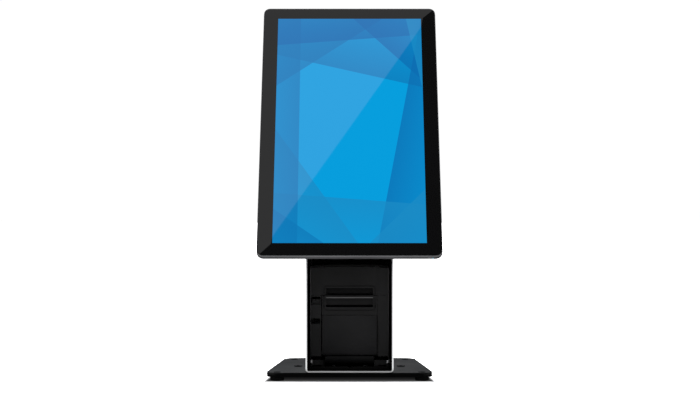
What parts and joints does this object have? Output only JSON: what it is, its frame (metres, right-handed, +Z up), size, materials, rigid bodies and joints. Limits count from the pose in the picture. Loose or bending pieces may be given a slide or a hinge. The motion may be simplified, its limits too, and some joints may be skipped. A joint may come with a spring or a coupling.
{
  "type": "touchscreen kiosk",
  "caption": "Countertop kiosk: portrait touch display on a tilt hinge above an open-fronted metal column that houses a receipt printer, on a tapered flat base with rubber feet.",
  "frame": {"origin": "on the table, under the middle of the overall box", "axes": "+Z up, +Y away from the user towards the rear door, +X to the user's right"},
  "size_m": [0.3222, 0.284, 0.6754],
  "materials": {
    "base_steel": "satin",
    "rubber": "matte",
    "dark_screw": "satin",
    "silver_shell": "satin",
    "cage_black": "satin",
    "rail_grey": "satin",
    "bright_steel": "satin",
    "black_sheet": "satin",
    "brass": "satin",
    "lock_chrome": "polished",
    "zinc_steel": "satin",
    "inner_black": "matte",
    "printer_black": "matte",
    "printer_panel": "satin",
    "tear_steel": "satin",
    "button_grey": "matte",
    "platen_rubber": "matte",
    "gear_nylon": "satin",
    "motor_can": "satin",
    "head_aluminium": "satin",
    "spring_steel": "satin",
    "cutter_grey": "satin",
    "paper": "matte",
    "board_green": "satin",
    "cover_glass": "polished",
    "gasket_black": "matte",
    "screen_blue": "polished",
    "backlight_grey": "satin",
    "frame_graphite": "satin",
    "rear_black": "matte",
    "chassis_zinc": "satin",
    "power_button_grey": "satin",
    "led": "polished"
  },
  "bodies": {
    "stand": {"base_plate": "base_steel", "rubber_feet": "rubber", "foot_screws": "dark_screw", "column_shell": "silver_shell", "floor_bolts": "dark_screw", "printer_cage": "cage_black", "printer_rails": "rail_grey", "cage_screws": "bright_steel", "hinge_cheeks": "black_sheet", "tilt_shaft": "bright_steel", "shaft_collars": "bright_steel", "friction_washers": "brass", "shaft_nuts": "bright_steel", "spine_cover": "black_sheet", "spine_screws": "bright_steel", "door_pins": "bright_steel", "strike_tab": "zinc_steel", "power_adapter": "inner_black", "printer_lower_case": "printer_black", "printer_top_case": "printer_black", "cover_hinge_pin": "bright_steel", "printer_feet": "rubber", "usb_port": "inner_black", "idler_axle": "bright_steel", "feed_motor": "motor_can", "print_head": "head_aluminium", "head_leaf_spring": "spring_steel", "cutter_frame": "cutter_grey", "paper_bucket": "inner_black", "printer_board": "board_green"},
    "display_head": {"cover_glass": "cover_glass", "glass_gasket": "gasket_black", "screen_cell": "screen_blue", "lcd_module": "backlight_grey", "front_frame": "frame_graphite", "rear_cover": "rear_black", "rear_cover_screws": "dark_screw", "vesa_screws": "bright_steel", "io_cover": "rear_black", "display_chassis": "chassis_zinc", "main_board": "board_green", "speakers": "inner_black", "status_led": "led", "tilt_yoke": "black_sheet"},
    "display_button": {"power_button": "power_button_grey"},
    "door": {"rear_door": "black_sheet", "lock_housing": "lock_chrome"},
    "lock": {"lock_plug": "lock_chrome", "lock_cam": "zinc_steel"},
    "paper_cover": {"printer_cover": "printer_black", "cover_panel": "printer_panel", "tear_bar": "tear_steel"},
    "platen": {"platen_roller": "platen_rubber", "platen_gear": "gear_nylon"},
    "idler": {"idler_gear": "gear_nylon"},
    "pinion": {"motor_pinion": "brass"},
    "roll": {"paper_roll": "paper"},
    "cutter": {"cutter_blade": "spring_steel"},
    "feed_key": {"feed_button": "button_grey"},
    "release_key": {"release_button": "button_grey"}
  },
  "joints": [
    {"name": "display_tilt", "type": "hinge", "parent": "stand", "child": "display_head", "pos_m": [0, 0.04827, 0.41385], "axis": [-1, 0, 0], "range_deg": [0, 25]},
    {"name": "display_power_press", "type": "slide", "parent": "display_head", "child": "display_button", "axis": [0, 0.5, 0.866], "range_m": [0, 0.001], "stiffness_N_per_m": 400},
    {"name": "rear_door_hinge", "type": "hinge", "parent": "stand", "child": "door", "pos_m": [-0.0713, 0.0979, 0.14], "axis": [0, 0, 1], "range_deg": [0, 100]},
    {"name": "door_lock_turn", "type": "hinge", "parent": "door", "child": "lock", "pos_m": [0.052, 0.092, 0.14], "axis": [0, 1, 0], "range_deg": [0, 90]},
    {"name": "paper_cover_hinge", "type": "hinge", "parent": "stand", "child": "paper_cover", "pos_m": [0, -0.066, 0.0465], "axis": [1, 0, 0], "range_deg": [0, 80]},
    {"name": "platen_spin", "type": "hinge", "parent": "stand", "child": "platen", "pos_m": [0, -0.053, 0.138], "axis": [1, 0, 0], "continuous": true},
    {"name": "idler_spin", "type": "hinge", "parent": "stand", "child": "idler", "pos_m": [0, -0.0355, 0.1338], "axis": [1, 0, 0], "continuous": true},
    {"name": "pinion_spin", "type": "hinge", "parent": "stand", "child": "pinion", "pos_m": [0, -0.02489, 0.12116], "axis": [1, 0, 0], "continuous": true},
    {"name": "paper_roll_spin", "type": "hinge", "parent": "stand", "child": "roll", "pos_m": [0, -0.011, 0.0883], "axis": [1, 0, 0], "continuous": true},
    {"name": "cutter_slide", "type": "slide", "parent": "stand", "child": "cutter", "axis": [0, 0, -1], "range_m": [0, 0.0035], "stiffness_N_per_m": 200, "springref_m": -0.002},
    {"name": "feed_button_press", "type": "slide", "parent": "stand", "child": "feed_key", "axis": [0, 1, 0], "range_m": [0, 0.0015], "stiffness_N_per_m": 400},
    {"name": "release_button_press", "type": "slide", "parent": "stand", "child": "release_key", "axis": [0, 1, 0], "range_m": [0, 0.003], "stiffness_N_per_m": 500}
  ],
  "couplings": [
    {"joint": "idler_spin", "follows": "platen_spin", "ratio": -0.6},
    {"joint": "pinion_spin", "follows": "platen_spin", "ratio": 1.2857}
  ]
}
